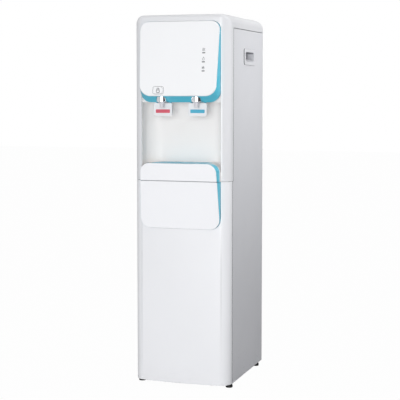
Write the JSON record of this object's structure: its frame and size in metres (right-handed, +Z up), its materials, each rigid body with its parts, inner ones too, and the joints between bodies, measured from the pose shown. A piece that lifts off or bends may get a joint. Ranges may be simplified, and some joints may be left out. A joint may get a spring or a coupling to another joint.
{
  "type": "water dispenser",
  "caption": "Tall floor-standing hot and cold water dispenser with a bottle collar on top, a cup alcove with paddle taps, a drip tray and a compressor cooler.",
  "frame": {"origin": "on the floor under the middle of the machine's width and depth", "axes": "+X to the machine's left seen from behind, which is right seen from the front; -Y to the front; +Z up"},
  "size_m": [0.314, 0.4108, 1.1555],
  "materials": {
    "white_shell": "satin moulded white",
    "white_panel": "gloss white",
    "white_sheet": "powder-coated white sheet",
    "blue_trim": "gloss cyan blue",
    "chrome": "bright chrome plate",
    "paddle_white": "gloss white",
    "hot_red": "gloss red",
    "cold_blue": "gloss blue",
    "grey_plastic": "satin light grey",
    "black_plastic": "matt black",
    "black_rubber": "matt black rubber",
    "lens": "clear smoked lens",
    "board": "green board",
    "steel": "bright steel",
    "foam": "white foam",
    "black_paint": "gloss black enamel",
    "copper": "copper tube",
    "silicone": "milky silicone",
    "galvanised": "galvanised sheet"
  },
  "bodies": {
    "cabinet": {"alcove_liner": "white_shell", "base_pan": "galvanised", "cold_hose": "silicone", "cold_jacket": "foam", "cold_shelf": "galvanised", "cold_tank": "steel", "compressor": "black_paint", "compressor_grommets": "black_rubber", "condenser_straps": "galvanised", "condenser_tube": "black_paint", "condenser_wires": "black_paint", "cord_gland": "black_plastic", "discharge_line": "copper", "display_board": "board", "drain_outlet": "grey_plastic", "feet": "black_rubber", "front_lower_panel": "white_shell", "front_upper_shell": "white_shell", "grip_left": "grey_plastic", "grip_right": "grey_plastic", "hot_hose": "silicone", "hot_jacket": "foam", "hot_shelf": "galvanised", "hot_tank": "steel", "indicator_lenses": "lens", "lock_switch": "black_plastic", "lower_trim": "blue_trim", "paddle_pins": "steel", "raised_panel": "white_panel", "rear_panel": "galvanised", "side_panel_left": "white_sheet", "side_panel_right": "white_sheet", "suction_line": "copper", "switch_housing": "black_plastic", "tank_lid": "grey_plastic", "tap_collar_cold": "chrome", "tap_collar_hot": "chrome", "tap_spring_cold": "steel", "tap_spring_hot": "steel", "tap_valve_cold": "white_panel", "tap_valve_hot": "white_panel", "thermostat": "black_plastic", "top_cover": "white_shell", "upper_panel": "white_panel", "upper_trim": "blue_trim"},
    "tray": {"drip_tray": "blue_trim", "tray_fascia": "white_panel"},
    "grille": {"drip_grille": "blue_trim"},
    "seat": {"bottle_seat": "white_shell", "bottle_probe": "white_panel"},
    "hot_paddle": {"paddle_hot": "paddle_white", "paddle_strip_hot": "hot_red"},
    "cold_paddle": {"paddle_cold": "paddle_white", "paddle_strip_cold": "cold_blue"},
    "hot_plunger": {"tap_plunger_hot": "grey_plastic"},
    "cold_plunger": {"tap_plunger_cold": "grey_plastic"},
    "lock": {"lock_button": "white_panel"},
    "heating_switch": {"heating_rocker": "hot_red"},
    "cooling_switch": {"cooling_rocker": "cold_blue"},
    "drain": {"drain_cap": "grey_plastic"}
  },
  "joints": [
    {"name": "tray_slide", "type": "slide", "parent": "cabinet", "child": "tray", "axis": [0, -1, 0], "range_m": [0, 0.13]},
    {"name": "grille_lift", "type": "slide", "parent": "tray", "child": "grille", "axis": [0, 0, 1], "range_m": [0, 0.05]},
    {"name": "seat_lift", "type": "slide", "parent": "cabinet", "child": "seat", "axis": [0, 0, 1], "range_m": [0, 0.11]},
    {"name": "hot_press", "type": "hinge", "parent": "cabinet", "child": "hot_paddle", "pos_m": [-0.056, -0.167, 0.877], "axis": [1, 0, 0], "range_deg": [0, 10], "stiffness_Nm_per_rad": 0.6},
    {"name": "hot_valve", "type": "slide", "parent": "cabinet", "child": "hot_plunger", "axis": [0, -1, 0], "range_m": [0, 0.00616], "deforming": ["tap_spring_hot"]},
    {"name": "cold_press", "type": "hinge", "parent": "cabinet", "child": "cold_paddle", "pos_m": [0.056, -0.167, 0.877], "axis": [1, 0, 0], "range_deg": [0, 10], "stiffness_Nm_per_rad": 0.6},
    {"name": "cold_valve", "type": "slide", "parent": "cabinet", "child": "cold_plunger", "axis": [0, -1, 0], "range_m": [0, 0.00616], "deforming": ["tap_spring_cold"]},
    {"name": "lock_press", "type": "slide", "parent": "cabinet", "child": "lock", "axis": [0, 0.9941, -0.1087], "range_m": [0, 0.002], "stiffness_N_per_m": 400},
    {"name": "heating_rock", "type": "hinge", "parent": "cabinet", "child": "heating_switch", "pos_m": [0.081, 0.183, 0.615], "axis": [1, 0, 0], "range_deg": [0, 16]},
    {"name": "cooling_rock", "type": "hinge", "parent": "cabinet", "child": "cooling_switch", "pos_m": [0.099, 0.183, 0.615], "axis": [1, 0, 0], "range_deg": [0, 16]},
    {"name": "drain_turn", "type": "hinge", "parent": "cabinet", "child": "drain", "pos_m": [-0.09, 0.183, 0.615], "axis": [0, 1, 0], "continuous": true}
  ],
  "couplings": [
    {"joint": "hot_valve", "follows": "hot_press", "m_per_rad": 0.0353},
    {"joint": "cold_valve", "follows": "cold_press", "m_per_rad": 0.0353}
  ]
}
